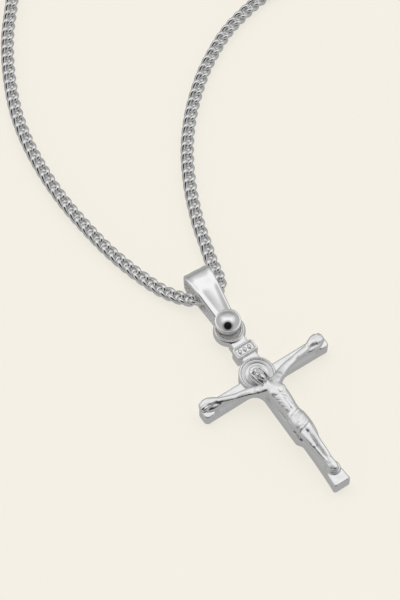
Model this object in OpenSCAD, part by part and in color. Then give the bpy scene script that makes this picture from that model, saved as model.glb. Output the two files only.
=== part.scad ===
// A crucifix pendant lying on its back, with a curb chain laid out in a loop through its bail.
// Millimetres. X runs along the arms, Y up the cross towards the bail, Z up from the back.
// The origin is on the back of the cross, where the arms cross the shaft.

/* [Cross] */
// Thickness of the cross
cross_t = 2.5; // [2:0.1:3.2]
// Length of the shaft from the crossing down to the foot
foot_reach = 22.9; // [21.9:0.2:27]
// Length of each arm from the crossing
arm_reach = 12.4; // [11:0.2:15]
// Width of an arm
arm_w = 2.5; // [2:0.1:3.2]
// Width of an arm at its end
arm_end_w = 2.7; // [2.2:0.1:3.6]
// Narrowest width of the shaft, under the figure's legs
shaft_w = 2.5; // [2:0.1:3.2]
// Width of the shaft at its foot
foot_w = 3.2; // [2.6:0.1:3.8]
// Width of the shaft behind the figure's body
backing_w = 3.9; // [3.4:0.1:4.4]
// Distance from the crossing down to where the shaft narrows
backing_reach = 13.3; // [11.3:0.2:15.3]
// Radius of the inner corners under the arms
fillet_r = 2; // [1:0.1:2.6]
// Radius of the corners at the arms' ends
corner_r = 0.8; // [0.5:0.05:1]
// Radius of the corners at the foot
foot_corner_r = 0.45; // [0.42:0.01:0.8]
// Size of the softened edges
edge_soft = 0.28; // [0.2:0.01:0.4]

/* [Plate and halo] */
// Width of the plate above the head
plate_w = 4; // [3:0.1:4.4]
// Length of the plate along the shaft
plate_l = 2.2; // [1.8:0.1:2.6]
// Height of the plate's face above the back
plate_t = 2.95; // [2.8:0.05:3.5]
// Distance from the crossing up to the middle of the plate
plate_y = 5.8; // [5.5:0.1:6.2]
// Radius of the plate's upper corners
plate_corner_r = 0.8; // [0.4:0.05:1]
// Width of the plate's raised border
border_w = 0.3; // [0.2:0.05:0.4]
// Height of the border and of the small lozenges inside it
border_h = 0.18; // [0.1:0.02:0.3]
// Outer radius of the halo
halo_r = 3.1; // [2.8:0.1:3.5]
// Height of the halo's rim above the back
halo_t = 3.1; // [2.9:0.05:3.6]
// Depth of the halo's hollow inside its rim
halo_dish = 0.3; // [0.15:0.05:0.45]
// How far the halo sits to the side of the shaft, after the leaning head
halo_shift = 0.8; // [0:0.1:1.2]
// Distance from the crossing up to the middle of the halo
halo_y = 0.9; // [0.5:0.1:1.3]

/* [Eye] */
// Distance from the crossing up to the middle of the eye
eye_y = 10.4; // [10.2:0.1:11.6]
// Outer radius of the eye
eye_r = 2.75; // [2.6:0.05:3.1]
// Radius of the hole in the eye
eye_hole_r = 1; // [0.9:0.05:1.3]
// How far the hole lies above the eye's middle
eye_hole_up = 0.6; // [0.4:0.05:0.7]
// Thickness of the eye
eye_t = 1.8; // [1.5:0.1:2.4]
// Width of the neck between the plate and the eye
neck_w = 3; // [2:0.1:3.2]

/* [Bail] */
// Turn of the bail about its pin, clockwise from straight up
bail_turn = 3; // [0:0.5:9]
// Length of the bail from its pin to the top of its bend
bail_l = 11.4; // [11:0.2:14]
// Width of the strap near its bend
bail_top_w = 5.2; // [4:0.1:5.4]
// Width of the strap where it meets its round ends
bail_end_w = 3; // [2.6:0.1:3.8]
// Radius of the strap's round ends on the pin
end_disc_r = 2; // [1.7:0.05:2.1]
// Depth of the bail at its bend
bail_depth = 4.9; // [4.4:0.1:5.6]
// Thickness of the strap
strap_t = 0.55; // [0.4:0.05:0.6]
// Radius of the pin
pin_r = 0.5; // [0.4:0.05:0.6]
// How far the pin sits to the right of the hole's middle
pin_x = 0.3; // [0:0.05:0.4]
// Height of the round seat under the domed head, above the eye
seat_h = 1.1; // [0.7:0.05:1.4]
// Radius of the domed head
dome_r = 2.1; // [1.7:0.05:2.2]
// Height of the domed head above its seat
dome_h = 0.95; // [0.8:0.05:1.5]
// Radius of the rounded bead around the domed head
dome_bead_r = 0.16; // [0.1:0.02:0.22]

/* [Figure] */
// Distance from the crossing down to the figure's shoulders
shoulder_y = 2.2; // [2:0.1:2.6]
// Length of the figure from its shoulders to its toes
figure_l = 18.3; // [17:0.1:18.6]
// Width of the chest
chest_w = 3.5; // [3:0.1:3.8]
// Height of the chest above the face of the cross
chest_h = 1.9; // [1.5:0.1:2.3]
// Width of each upper arm at the shoulder
upper_arm_w = 1.8; // [1.4:0.05:2]
// Length of each hand
hand_l = 2.7; // [2:0.1:3]
// Width of each palm
palm_w = 1.7; // [1.2:0.05:1.9]
// Width of each thigh
thigh_w = 1.3; // [1:0.05:1.5]
// How far the legs lean to the figure's left
leg_shift = 0.2; // [0:0.05:0.4]
// Width of each of the figure's feet
sole_w = 0.9; // [0.7:0.05:1]
// Width of the rounded pad under the feet
pad_w = 2.4; // [2:0.1:2.6]
// Height of the pad above the face of the cross
pad_h = 0.35; // [0.2:0.05:0.6]
// Width of the neck
throat_w = 1.6; // [1.2:0.05:1.8]
// Width of the wrapped loincloth
cloth_w = 3.8; // [3.5:0.1:4.2]
// Length of the head from its crown to the tip of the beard
head_l = 3.7; // [3.2:0.1:4]
// Width of the head with its hair
head_w = 2.4; // [2.1:0.1:2.7]
// Lean of the head towards its right shoulder
head_lean = 17; // [5:1:25]

/* [Chain and clasp] */
// Width of the curb chain
chain_w = 2.4; // [2:0.1:2.6]
// Thickness of the curb chain where it lies
chain_t = 1.7; // [1.4:0.1:1.8]
// Radius of the wire of the two end rings
ring_wire_r = 0.3; // [0.25:0.01:0.35]
// Mean radius of the two end rings
ring_r = 1.15; // [1.05:0.05:1.3]
// Length of the clasp's barrel
barrel_l = 4.6; // [4:0.1:6]
// Thickness of the tab at the back of the clasp
tab_t = 0.8; // [0.6:0.05:1]
// Radius of the wire of the clasp's loop
loop_wire_r = 0.5; // [0.4:0.05:0.55]
// Mean radius of the clasp's loop
loop_r = 1.5; // [1.4:0.05:1.8]
// Clearance between pieces that hold each other
gap = 0.15; // [0.1:0.01:0.2]

/* [Hidden] */
silver = [0.80, 0.80, 0.81];
bright = [0.88, 0.88, 0.89];
// Width of the halo's rim, and softening of the plate's lower corners and of the strap's corners
halo_rim = 0.35;
plate_soft = 0.15;
strap_soft = 0.5;
// How far a raised form runs down into the metal that carries it
root = 0.4;
// Sides of a round limb and of a round body
limb_sides = 10;
body_sides = 16;

// Heights that several pieces share
toe_y = shoulder_y + figure_l;
eye_front = eye_t + strap_t + 2 * gap;
eye_back = eye_front - eye_t;
pin_play = eye_hole_r - pin_r - gap / 2;
pin_y = eye_y + eye_hole_up + sqrt(pin_play * pin_play - pin_x * pin_x);
strap_low = gap / 2;
front_in = eye_front + gap / 2;
front_out = front_in + strap_t;
seat_top = front_in + seat_h;
chain_lift = strap_low + strap_t + gap;

// The clasp lies along its own line, from the first ring to the second
clasp_place = [110, 156];
clasp_turn = -36.5;
ring_out = ring_r + ring_wire_r;
tab_hole_r = ring_wire_r + gap;
tab_r = tab_hole_r + 0.4;
tab_u = ring_r;
barrel_u = tab_u + tab_r;
loop_u = barrel_u + barrel_l + loop_r - loop_wire_r;
ring_b_u = loop_u + loop_r + ring_wire_r + loop_wire_r + gap - ring_r + gap;
chain_end_a = -ring_out - gap;
chain_end_b = ring_b_u + ring_out + gap;
// The chain leaves each end ring along the clasp's line: distances along it, and share of the lift
chain_leads = [[0, 0.5], [chain_w, 0.3], [2 * chain_w, 0.1]];

// The chain's way round: each row is x, y and its share of the lift over the bail's back strap
LEFT_STRAND = [
    [91, 159.5, 0], [74, 154.5, 0], [57, 144.5, 0], [41.5, 131, 0], [27.5, 116, 0], [14.5, 101, 0],
    [4.5, 87.7, 0], [-0.7, 80.8, 0], [-4.8, 73.3, 0], [-7.8, 65.4, 0], [-9.4, 56.8, 0],
    [-9.8, 47.5, 0], [-8.9, 37.5, 0], [-7.6, 31, 0], [-5.8, 25.2, 0], [-4.2, 21.7, 0.4],
    [-2.2, 19, 1]];
RIGHT_STRAND = [
    [0.5, 17.8, 1], [2.6, 17.9, 1], [3.9, 19.1, 0.8], [4.5, 21.1, 0.4], [5.1, 23.7, 0.1],
    [6, 26.6, 0], [7.5, 31.5, 0], [10.6, 38.7, 0], [14.8, 45.6, 0], [20.3, 51.8, 0],
    [27.2, 57.3, 0], [35.8, 61.5, 0], [48, 63.5, 0], [67.5, 62, 0], [88, 62.5, 0],
    [105.5, 68.5, 0], [120, 79, 0], [130.5, 94, 0], [135, 111, 0], [133, 129, 0]];

// Geometry helpers
function unit(v) = v / norm(v);
function clasp_point(u) = clasp_place + u * [cos(clasp_turn), sin(clasp_turn)];
function arc(centre, r, from, to, steps) =
    [for (i = [0:steps]) let (a = from + (to - from) * i / steps) centre + r * [cos(a), sin(a)]];
function mirrored(points) = [for (i = [len(points) - 1:-1:0]) [-points[i].x, points[i].y]];
// A smooth curve through rows, with a new row halfway along each span
function midway(a, b, c, d) = (9 * (b + c) - (a + d)) / 16;
function smooth(rows) = let (n = len(rows) - 1) [for (i = [0:n]) each i == n ? [rows[n]]
    : [rows[i], midway(rows[max(i - 1, 0)], rows[i], rows[i + 1], rows[min(i + 2, n)])]];
// Points of a closed outline moved inwards, square to its edges
function inset(points, d) = let (n = len(points)) [for (i = [0:n - 1])
    let (a = unit(points[i] - points[(i + n - 1) % n]), b = unit(points[(i + 1) % n] - points[i]),
         na = [-a.y, a.x], nb = [-b.y, b.x])
    points[i] + d * (na + nb) / (1 + na * nb)];

// A closed solid through rings of points, all with the same count
module skin(rings) {
    n = len(rings[0]);
    last = len(rings) - 1;
    sides = [for (r = [0:last - 1], i = [0:n - 1]) let (j = (i + 1) % n)
        each [[r * n + i, (r + 1) * n + i, r * n + j], [r * n + j, (r + 1) * n + i, (r + 1) * n + j]]];
    ends = [[for (i = [0:n - 1]) i], [for (i = [n - 1:-1:0]) last * n + i]];
    polyhedron([for (r = rings) each r], concat(sides, ends));
}

// A solid along a path: each row is x, y, z, half width and half height of an oval.
// How much of that height lies below the path is set by under.
module oval_sweep(rows, sides = limb_sides, under = 1) {
    last = len(rows) - 1;
    function at(i) = [rows[i][0], rows[i][1], rows[i][2]];
    skin([for (i = [0:last])
        let (d = unit(at(min(i + 1, last)) - at(max(i - 1, 0))),
             across = unit([d.y, -d.x, 0]), up = cross(across, d))
        [for (k = [0:sides - 1]) let (a = -360 * k / sides)
            at(i) + across * rows[i][3] * cos(a) + up * rows[i][4] * sin(a) * (a < -180 ? 1 : under)]]);
}

// A flat slab with softened upper and lower edges
module soft_slab(outline, t) {
    // Each row is a height and the inset of the outline there
    levels = [[0, 0.5 * edge_soft], [0.5 * edge_soft, 0], [t - edge_soft, 0],
              [t - 0.3 * edge_soft, 0.3 * edge_soft], [t, edge_soft]];
    skin([for (v = levels) [for (p = inset(outline, v[1])) [p.x, p.y, v[0]]]]);
}

module oval(size, at = [0, 0, 0], sides = 16) {
    translate(at) scale(size / 2) sphere(1, $fn = sides);
}

// Outline of the cross, up its right side and down its left
function cross_outline() = let (
    narrow_l = foot_reach - backing_reach,
    half_end = arm_end_w / 2,
    foot = arc([foot_w / 2 - foot_corner_r, foot_corner_r - foot_reach], foot_corner_r, -80, 0, 3),
    shaft = [for (s = [0.25, 0.5, 0.75, 0.9])
        [shaft_w / 2 + (foot_w - shaft_w) / 2 * (1 - s) * (1 - s), s * narrow_l - foot_reach]],
    step = [for (s = [0.25, 0.5, 0.75, 1])
        [shaft_w / 2 + (backing_w - shaft_w) / 4 * (1 - cos(180 * s)),
         -backing_reach + 1.5 * (s - 0.2)]],
    armpit = arc([backing_w / 2 + fillet_r, -arm_w / 2 - fillet_r], fillet_r, 180, 90, 6),
    arm_low = [for (s = [0.6, 0.8]) [s * arm_reach, -arm_w / 2 - (arm_end_w - arm_w) / 2 * s * s * s]],
    end_low = arc([arm_reach - corner_r, corner_r - half_end], corner_r, -80, 0, 3),
    end_top = arc([arm_reach - corner_r, half_end - corner_r], corner_r, 0, 80, 3),
    arm_top = [for (s = [0.8, 0.6]) [s * arm_reach, arm_w / 2 + (arm_end_w - arm_w) / 2 * s * s * s]],
    corner = arc([neck_w / 2 + fillet_r / 2, (arm_w + fillet_r) / 2], fillet_r / 2, 270, 180, 3),
    top = [[neck_w / 2, eye_y - eye_r + 0.7]],
    right = concat(foot, shaft, step, armpit, arm_low, end_low, end_top, arm_top, corner, top))
    concat(right, mirrored(right));

// The eye: a rounded disc with a hole above its middle, flared at both faces
module eye() {
    half = eye_t / 2;
    soft = half * 0.62;
    flare = 0.25;
    out = half + 0.1;
    translate([0, eye_y, eye_back + half]) difference() {
        rotate_extrude($fn = 36)
            polygon([[0, -half], [eye_r - soft, -half], [eye_r - 0.3 * soft, -half * 0.75],
                     [eye_r, -half * 0.25], [eye_r, half * 0.25],
                     [eye_r - 0.3 * soft, half * 0.75], [eye_r - soft, half], [0, half]]);
        translate([0, eye_hole_up]) rotate_extrude($fn = 36)
            polygon([[0, -out], [eye_hole_r + flare, -out], [eye_hole_r, flare - half],
                     [eye_hole_r, half - flare], [eye_hole_r + flare, out], [0, out]]);
    }
}

function plate_outline(w, l, r) = let (
    right = concat([[w / 2 - plate_soft, -l / 2], [w / 2, plate_soft - l / 2]],
                   arc([w / 2 - r, l / 2 - r], r, 10, 80, 3)))
    [for (p = concat(right, mirrored(right))) p + [0, plate_y]];

module plate() {
    inner_w = plate_w - 2 * border_w - 2 * edge_soft;
    inner_l = plate_l - 2 * border_w - 2 * edge_soft;
    lozenge_l = inner_l * 0.75;
    difference() {
        soft_slab(plate_outline(plate_w, plate_l, plate_corner_r), plate_t);
        translate([0, 0, plate_t - border_h])
            linear_extrude(2 * border_h)
                polygon(plate_outline(inner_w, inner_l, plate_corner_r / 2));
    }
    for (x = [-1, 0, 1])
        translate([x * inner_w * 0.3, plate_y, plate_t - border_h - root])
            scale([0.6, 1, 1])
                cylinder(h = root + border_h, d1 = lozenge_l, d2 = lozenge_l * 0.6, $fn = 4);
}

module halo() {
    soft = edge_soft;
    translate([-halo_shift, halo_y, 0])
        rotate_extrude($fn = 40)
            polygon([[0, 0], [halo_r - soft, 0], [halo_r, soft], [halo_r, halo_t - soft],
                     [halo_r - 0.3 * soft, halo_t - 0.3 * soft], [halo_r - soft, halo_t],
                     [halo_r - soft - halo_rim, halo_t],
                     [halo_r - soft - 1.4 * halo_rim, halo_t - halo_dish],
                     [halo_r * 0.62, halo_t - halo_dish], [halo_r * 0.58, halo_t - 0.4 * halo_dish],
                     [halo_r * 0.5, halo_t - 0.4 * halo_dish], [halo_r * 0.46, halo_t - halo_dish],
                     [0, halo_t - halo_dish]]);
}

// A place on the figure: shares of its length down from the shoulders and of the chest's height
function fig(x, down, up) = [x, -shoulder_y - down * figure_l, cross_t + up * chest_h];

module torso() {
    // share down the figure, share of the chest's width, share of the chest's height
    rows = [[-0.05, 0.3, 0.4], [-0.02, 0.62, 0.66], [0.02, 0.92, 0.82], [0.07, 1.04, 0.95],
            [0.13, 1.02, 1], [0.19, 0.96, 0.98], [0.25, 0.86, 0.88], [0.31, 0.8, 0.82],
            [0.38, 0.88, 0.86], [0.46, 0.9, 0.84], [0.53, 0.6, 0.6]];
    oval_sweep([for (r = rows) let (p = fig(0, r[0], 0))
        [p.x, p.y, p.z - root, r[1] * chest_w / 2, r[2] * chest_h + root]], body_sides, 0.25);
}

module ribs() {
    // share down the figure, share of the chest's width and share of its height of each pair
    rows = [[0.155, 0.92, 0.97], [0.195, 0.9, 0.93], [0.235, 0.82, 0.84]];
    thick = chest_w * 0.057;
    for (r = rows, side = [-1, 1]) {
        w = side * r[1] * chest_w / 2;
        rib = [for (s = [0.15, 0.35, 0.55, 0.75, 0.92])
            let (p = fig(w * s, r[0] + 0.04 * s * s, r[2] - 0.6 * s * s))
            [p.x, p.y, p.z, thick, thick / 2]];
        oval_sweep(rib, 8);
    }
}

module loincloth() {
    // share down the figure, share of the cloth's width, share of the chest's height
    wrap = [[0.325, 0.78, 0.84], [0.34, 0.88, 0.96], [0.38, 0.96, 1.04], [0.44, 1, 1.08],
            [0.5, 0.96, 1.06], [0.54, 0.84, 0.98], [0.56, 0.7, 0.82]];
    oval_sweep([for (r = wrap) let (p = fig(0, r[0], 0))
        [p.x, p.y, p.z - root, r[1] * cloth_w / 2, r[2] * chest_h + root]], body_sides, 0.25);
    // Folds that sweep across from the right hip: share down at each end and how far they sag
    folds = [[0.37, 0.37, 0.02], [0.41, 0.385, 0.035], [0.455, 0.4, 0.05], [0.505, 0.42, 0.05]];
    for (f = folds)
        oval_sweep([for (s = [0:0.2:1])
            let (x = cloth_w * (0.84 * s - 0.44), bow = 1 - 4 * x * x / (cloth_w * cloth_w),
                 p = fig(x, f[0] + (f[1] - f[0]) * s + f[2] * sin(180 * s), 0))
            [p.x, p.y, p.z - root + (1.05 * chest_h + root) * sqrt(bow),
             cloth_w * (0.058 - 0.026 * s), cloth_w * 0.024]], 8);
    // The gathered end that hangs at the figure's left hip
    for (k = [0, 1]) {
        // share of the cloth's width to the side, share down, share up, share of the width
        drape = [[0.34, 0.4, 0.75, 0.05], [0.42, 0.44, 0.62, 0.08], [0.42, 0.52, 0.45, 0.085],
                 [0.38, 0.6 + 0.02 * k, 0.25, 0.08], [0.35, 0.63 + 0.02 * k, 0.15, 0.05]];
        oval_sweep([for (d = drape) let (p = fig(cloth_w * (d[0] - 0.1 * k), d[1], d[2] - 0.1 * k))
            [p.x, p.y, p.z, cloth_w * d[3], cloth_w * d[3] * 1.2]], 8);
    }
}

module figure_arm(side) {
    hand_x = arm_reach - hand_l;
    // share of the way to the wrist, rise of the arm, share of the upper arm's width, share up
    rows = [[-0.08, -1.2, 0.7, 0.5], [0.02, -1.12, 1, 0.6], [0.1, -1, 1.1, 0.6],
            [0.19, -0.8, 1.04, 0.54], [0.3, -0.58, 0.9, 0.46], [0.42, -0.4, 0.82, 0.4],
            [0.54, -0.24, 0.78, 0.36], [0.64, -0.08, 0.84, 0.35], [0.78, 0.12, 0.74, 0.3],
            [0.92, 0.3, 0.6, 0.26], [1.04, 0.42, 0.58, 0.24]];
    oval_sweep([for (r = rows) let (half = r[2] * upper_arm_w / 2)
        [side * (1 + r[0] * (hand_x - 1)), r[1] * shoulder_y * 0.75, cross_t + r[3] * chest_h * 0.6,
         half, half * 0.9]]);
}

module hand(side) {
    wrist_x = arm_reach - hand_l;
    palm_y = arm_w * 0.3;
    palm_z = cross_t + palm_w * 0.12;
    // share of the hand's length, shares of the palm's width: half width, half height
    palm = [[-0.16, 0.25, 0.25], [0.02, 0.3, 0.28], [0.2, 0.42, 0.32], [0.36, 0.5, 0.3],
            [0.52, 0.45, 0.24]];
    oval_sweep([for (r = palm)
        [side * (wrist_x + r[0] * hand_l), palm_y + r[0] * palm_w * 0.1, palm_z,
         r[1] * palm_w, r[2] * palm_w]], 12);
    for (k = [0:3]) {
        spread = k - 1.5;
        // share of the hand's length, shares of the palm's width: height, radius
        joints = [[0.38, 0.12, 0.12], [0.64, 0.17 - 0.03 * k, 0.13],
                  [0.87 - 0.03 * spread * spread, 0, 0.09]];
        for (j = [0, 1])
            hull()
                for (f = [joints[j], joints[j + 1]])
                    translate([side * (wrist_x + f[0] * hand_l),
                               palm_y + palm_w * (0.06 + 0.23 * spread), palm_z + f[1] * palm_w])
                        sphere(f[2] * palm_w, $fn = 8);
    }
    // share of the hand's length, shares of the palm's width: place across, half width
    thumb = [[0.06, 0.18, 0.12], [0.26, 0.42, 0.12], [0.44, 0.58, 0.11], [0.58, 0.62, 0.07]];
    oval_sweep([for (f = thumb)
        [side * (wrist_x + f[0] * hand_l), palm_y + f[1] * palm_w, palm_z,
         f[2] * palm_w, f[2] * palm_w]], 8);
}

module leg(side) {
    // share down the figure, share of the thigh's width to the side, share of its width, share up
    rows = [[0.48, 0.5, 1, 0.5], [0.56, 0.48, 1, 0.56], [0.635, 0.45, 0.92, 0.7],
            [0.68, 0.43, 0.86, 0.8], [0.72, 0.42, 0.76, 0.7], [0.79, 0.4, 0.82, 0.54],
            [0.86, 0.34, 0.66, 0.44], [0.93, 0.28, 0.52, 0.4]];
    oval_sweep([for (r = rows)
        let (p = fig(leg_shift + side * r[1] * thigh_w, r[0], r[3] * 0.8), half = r[2] * thigh_w / 2)
        [p.x, p.y, p.z, half, half * 1.1]]);
}

module feet() {
    // The left foot lies on the pad and the right foot over it
    for (k = [0, 1]) {
        side = k == 0 ? 1 : -1;
        // share down the figure, share of the thigh's width to the side, shares of the foot's
        // width: half width, drop towards the toes
        rows = [[0.9, 0.3, 0.38, 0], [0.93, 0.24, 0.45, 0.09], [0.96, 0.18, 0.5, 0.22],
                [0.98, 0.12, 0.42, 0.33], [0.99, 0.08, 0.26, 0.4]];
        oval_sweep([for (r = rows) let (p = fig(leg_shift / 2 + side * r[1] * thigh_w, r[0], 0))
            [p.x, p.y + 0.33 * sole_w * (1 - k), p.z + sole_w * (0.45 + 0.45 * k - r[3]),
             r[2] * sole_w, r[2] * sole_w * 0.9]]);
    }
    translate([leg_shift / 2, pad_w * 0.38 - toe_y, cross_t - root])
        scale([1, 1.2, 1]) cylinder(h = root + pad_h, d1 = pad_w, d2 = pad_w * 0.88, $fn = 24);
}

module neck() {
    top = head_place();
    base = fig(0, 0.02, 0.7);
    mid = (top + base) / 2;
    w = throat_w / 2;
    oval_sweep([[base.x, base.y - w, base.z - w * 0.3, w * 1.2, w * 0.9],
                [base.x, base.y, base.z, w * 1.1, w * 0.9], [mid.x, mid.y, mid.z, w * 0.9, w * 0.8],
                [top.x, top.y, top.z, w * 0.9, w * 0.75]]);
}

// Middle of the head, and its own frame: X across the face, Y up to the crown, Z out of the face
function head_place() =
    [-halo_shift - head_w * 0.1, halo_y - head_l * 0.3, cross_t + chest_h * 0.75];
module in_head() {
    translate(head_place()) rotate([12, 0, head_lean]) children();
}

module face() {
    l = head_l;
    w = head_w;
    // Crown, cheeks and jaw
    oval([w * 0.86, l * 0.66, l * 0.6], [0, l * 0.12, 0]);
    oval([w * 0.62, l * 0.5, l * 0.56], [0, -l * 0.08, l * 0.03]);
    // Brow, nose and closed eyes
    oval([w * 0.56, l * 0.07, l * 0.12], [0, l * 0.11, l * 0.27], 12);
    // shares of the head's length up and out, shares of its width: half width, half height
    nose = [[0.1, 0.27, 0.042, 0.05], [0.02, 0.32, 0.054, 0.062], [-0.06, 0.34, 0.075, 0.058],
            [-0.08, 0.3, 0.05, 0.042]];
    oval_sweep([for (r = nose) [0, r[0] * l, r[1] * l, r[2] * w, r[3] * w]], 6);
    for (side = [-1, 1])
        oval([w * 0.2, l * 0.06, l * 0.1], [side * w * 0.15, l * 0.045, l * 0.265], 10);
    // Moustache and beard
    // share of the head's width to the side, shares of its length down and out, half width
    moustache = [[0.012, 0.105, 0.3, 0.04], [0.13, 0.14, 0.28, 0.04], [0.2, 0.2, 0.22, 0.025]];
    for (side = [-1, 1])
        oval_sweep([for (r = moustache)
            [side * r[0] * w, -r[1] * l, r[2] * l, r[3] * w, r[3] * w * 0.8]], 6);
    oval([w * 0.42, l * 0.34, l * 0.4], [0, -l * 0.3, l * 0.08], 12);
    oval([w * 0.34, l * 0.06, l * 0.1], [0, -l * 0.165, l * 0.275], 10);
}

module hair() {
    l = head_l;
    w = head_w;
    // share of the head's width to the side, of its length up, and of its length out
    lock = [[0.04, 0.42, 0.16], [0.3, 0.34, 0.17], [0.42, 0.14, 0.12], [0.44, -0.08, 0.06],
            [0.42, -0.28, 0], [0.36, -0.42, -0.06]];
    for (side = [-1, 1], k = [0, 1])
        oval_sweep([for (r = lock)
            [side * (r[0] + 0.09 * k) * w, r[1] * l, (r[2] - 0.08 * k) * l,
             w * (0.092 - 0.008 * k), w * 0.112]], 8);
    // A plain band around the brow
    oval_sweep([for (a = [-80:20:80])
        [sin(a) * w * 0.45, l * 0.2, cos(a) * l * 0.28, w * 0.05, w * 0.067]], 6);
}

module crucifix() {
    color(silver) {
        soft_slab(cross_outline(), cross_t);
        halo();
        plate();
        eye();
    }
    color(bright) {
        torso();
        ribs();
        loincloth();
        neck();
        in_head() face();
        in_head() hair();
        feet();
        for (side = [-1, 1]) {
            figure_arm(side);
            hand(side);
            leg(side);
        }
    }
}

// Side view of the strap with its bend, along the bail and up: a tapered loop
module strap_side(inset_by) {
    r = bail_depth / 2 - inset_by;
    bend = [bail_l - bail_depth / 2, strap_low + bail_depth / 2];
    low = bend.y - r;
    end_top = front_out - inset_by;
    end_at = -bail_end_w;
    reach = [end_at, end_top] - bend;
    lean = atan2(reach.y, reach.x) - acos(r / norm(reach));
    touch = bend + r * [cos(lean), sin(lean)];
    translate(bend) circle(r, $fn = 48);
    polygon([[end_at, low], [bend.x, low], bend, touch, [end_at, end_top]]);
}

// The strap seen from above: tapered, with round ends on the pin
module strap_front() {
    soft = strap_soft;
    top = bail_l;
    circle(end_disc_r, $fn = 40);
    polygon([[-bail_end_w / 2, 0], [bail_end_w / 2, 0], [bail_top_w / 2, top - soft],
             [bail_top_w / 2 - soft, top + soft], [soft - bail_top_w / 2, top + soft],
             [-bail_top_w / 2, top - soft]]);
}

module bail() {
    wide = bail_top_w + 2;
    color(silver) translate([pin_x, pin_y, 0]) rotate(-bail_turn) {
        intersection() {
            rotate([90, 0, 90]) translate([0, 0, -wide / 2])
                linear_extrude(wide) difference() {
                    strap_side(0);
                    strap_side(strap_t);
                }
            linear_extrude(bail_depth + 1) strap_front();
        }
        translate([0, 0, strap_t / 2])
            cylinder(h = seat_top - strap_t / 2 - 0.2, r = pin_r, $fn = 32);
        translate([0, 0, seat_top - seat_h + 0.1])
            cylinder(h = seat_h - 0.1, r = dome_r + dome_bead_r / 2, $fn = 48);
        translate([0, 0, seat_top]) dome();
    }
}

// The domed head of the pin, with a rounded bead around its foot
module dome() {
    ball_r = (dome_r * dome_r + dome_h * dome_h) / (2 * dome_h);
    rotate_extrude($fn = 48) difference() {
        translate([0, dome_h - ball_r]) circle(ball_r, $fn = 96);
        translate([-2 * ball_r, -4 * ball_r]) square(4 * ball_r);
        translate([-4 * ball_r, -ball_r]) square(4 * ball_r);
    }
    rotate_extrude($fn = 48) translate([dome_r, 0]) difference() {
        circle(dome_bead_r, $fn = 24);
        translate([-1, -2]) square(2);
    }
}

module chain() {
    end_a = [for (d = chain_leads) concat(clasp_point(chain_end_a - d[0]), d[1])];
    end_b = [for (i = [2, 1, 0]) let (d = chain_leads[i])
        concat(clasp_point(chain_end_b + d[0]), d[1])];
    path = smooth(concat(end_a, LEFT_STRAND, RIGHT_STRAND, end_b));
    color(bright) oval_sweep([for (p = path)
        [p.x, p.y, chain_t / 2 + max(p.z, 0) * chain_lift, chain_w / 2, chain_t / 2]], 8);
}

// Everything at the clasp is drawn along its line, at the height of the rings' middles
module on_clasp(u) {
    place = clasp_point(u);
    translate([place.x, place.y, ring_out]) rotate(clasp_turn) children();
}

module end_ring(u) {
    color(silver) on_clasp(u) rotate([90, 0, 0])
        rotate_extrude($fn = 40) translate([ring_r, 0]) circle(ring_wire_r, $fn = 20);
}

module end_ring_a() {
    end_ring(0);
}

module end_ring_b() {
    end_ring(ring_b_u);
}

module clasp() {
    round_r = ring_out - 0.05;
    color(silver) {
        on_clasp(tab_u) difference() {
            translate([0, 0, -tab_t / 2]) linear_extrude(tab_t) {
                circle(tab_r, $fn = 32);
                translate([0, -tab_r]) square([tab_r + 1, 2 * tab_r]);
            }
            cylinder(h = 2 * tab_t, r = tab_hole_r, center = true, $fn = 32);
        }
        on_clasp(barrel_u) rotate([0, 90, 0]) {
            translate([0, 0, round_r]) sphere(round_r, $fn = 40);
            translate([0, 0, round_r]) cylinder(h = barrel_l - 2 * round_r, r = round_r, $fn = 40);
            translate([0, 0, barrel_l - round_r]) sphere(round_r, $fn = 40);
        }
        on_clasp(loop_u) rotate_extrude($fn = 48) translate([loop_r, 0]) circle(loop_wire_r, $fn = 24);
    }
}

crucifix();
bail();
chain();
end_ring_a();
end_ring_b();
clasp();
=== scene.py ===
"""Looks of a crucifix pendant that lies on its back, with its curb chain laid out in a loop.

Tables and shapes are in millimetres, in the same frame as the solids: X along the arms, Y up the
cross towards the bail, Z up from its back. Meshes are made in metres.
"""
import math

import bpy
import numpy as np
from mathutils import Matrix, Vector


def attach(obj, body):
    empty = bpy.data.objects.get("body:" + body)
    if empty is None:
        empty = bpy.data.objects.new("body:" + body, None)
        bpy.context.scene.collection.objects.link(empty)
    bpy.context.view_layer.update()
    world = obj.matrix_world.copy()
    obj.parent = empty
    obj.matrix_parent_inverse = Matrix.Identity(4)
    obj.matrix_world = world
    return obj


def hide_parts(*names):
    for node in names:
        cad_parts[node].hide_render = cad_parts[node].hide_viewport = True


MM = 0.001
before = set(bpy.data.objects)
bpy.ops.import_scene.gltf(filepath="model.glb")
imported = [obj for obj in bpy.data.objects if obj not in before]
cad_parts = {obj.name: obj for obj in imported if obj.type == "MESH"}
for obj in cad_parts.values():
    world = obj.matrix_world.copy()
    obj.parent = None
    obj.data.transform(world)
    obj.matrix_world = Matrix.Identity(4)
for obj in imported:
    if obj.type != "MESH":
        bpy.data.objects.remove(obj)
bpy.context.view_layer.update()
scene = bpy.context.scene


# Camera
TARGET = Vector((-0.398, 18.700, 0)) * MM
TURN = math.radians(33.5)
ELEVATION = math.radians(63.7)
DISTANCE = 0.4
along_floor = math.cos(ELEVATION)
ahead = Vector((along_floor * math.sin(TURN), along_floor * math.cos(TURN), -math.sin(ELEVATION)))
camera = bpy.data.objects.new("camera", bpy.data.cameras.new("camera"))
scene.collection.objects.link(camera)
camera.location = TARGET - ahead * DISTANCE
camera.rotation_mode = "QUATERNION"
camera.rotation_quaternion = ahead.to_track_quat("-Z", "Y")
camera.data.sensor_width = 36
camera.data.lens = 141.18
camera.data.clip_start = 0.01
scene.camera = camera


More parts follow.
